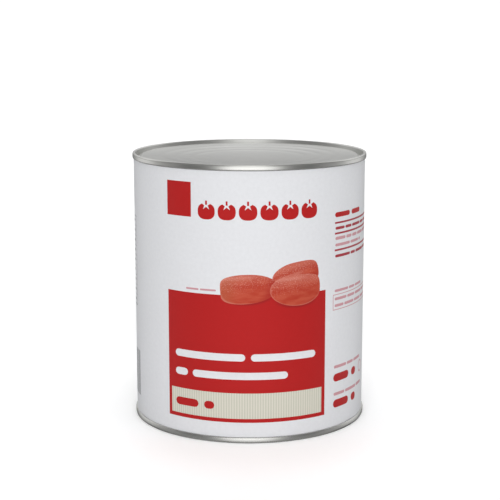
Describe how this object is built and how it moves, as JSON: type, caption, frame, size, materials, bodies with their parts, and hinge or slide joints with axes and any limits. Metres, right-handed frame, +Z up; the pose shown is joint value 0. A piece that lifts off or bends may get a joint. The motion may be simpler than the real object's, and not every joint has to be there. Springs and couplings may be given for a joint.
{
  "type": "food tin",
  "caption": "Shut, full, round steel food tin with double-seamed ringed ends and a wrapped, printed paper label.",
  "frame": {"origin": "middle of the circle that the tin stands on, on the surface under it", "axes": "+Z up along the tin's axis; the middle of the label's front faces -Y; +X to the right of the front"},
  "size_m": [0.1024, 0.1024, 0.1169],
  "materials": {
    "tinplate_body": "bright tinned steel sheet",
    "tinplate_end": "bright tinned steel sheet, pressed",
    "coated_paper": "white coated label paper with a satin varnish, printed in red and cream"
  },
  "bodies": {
    "root": {"can_body": "tinplate_body", "top_end": "tinplate_end", "bottom_end": "tinplate_end", "paper_label": "coated_paper"}
  },
  "joints": []
}
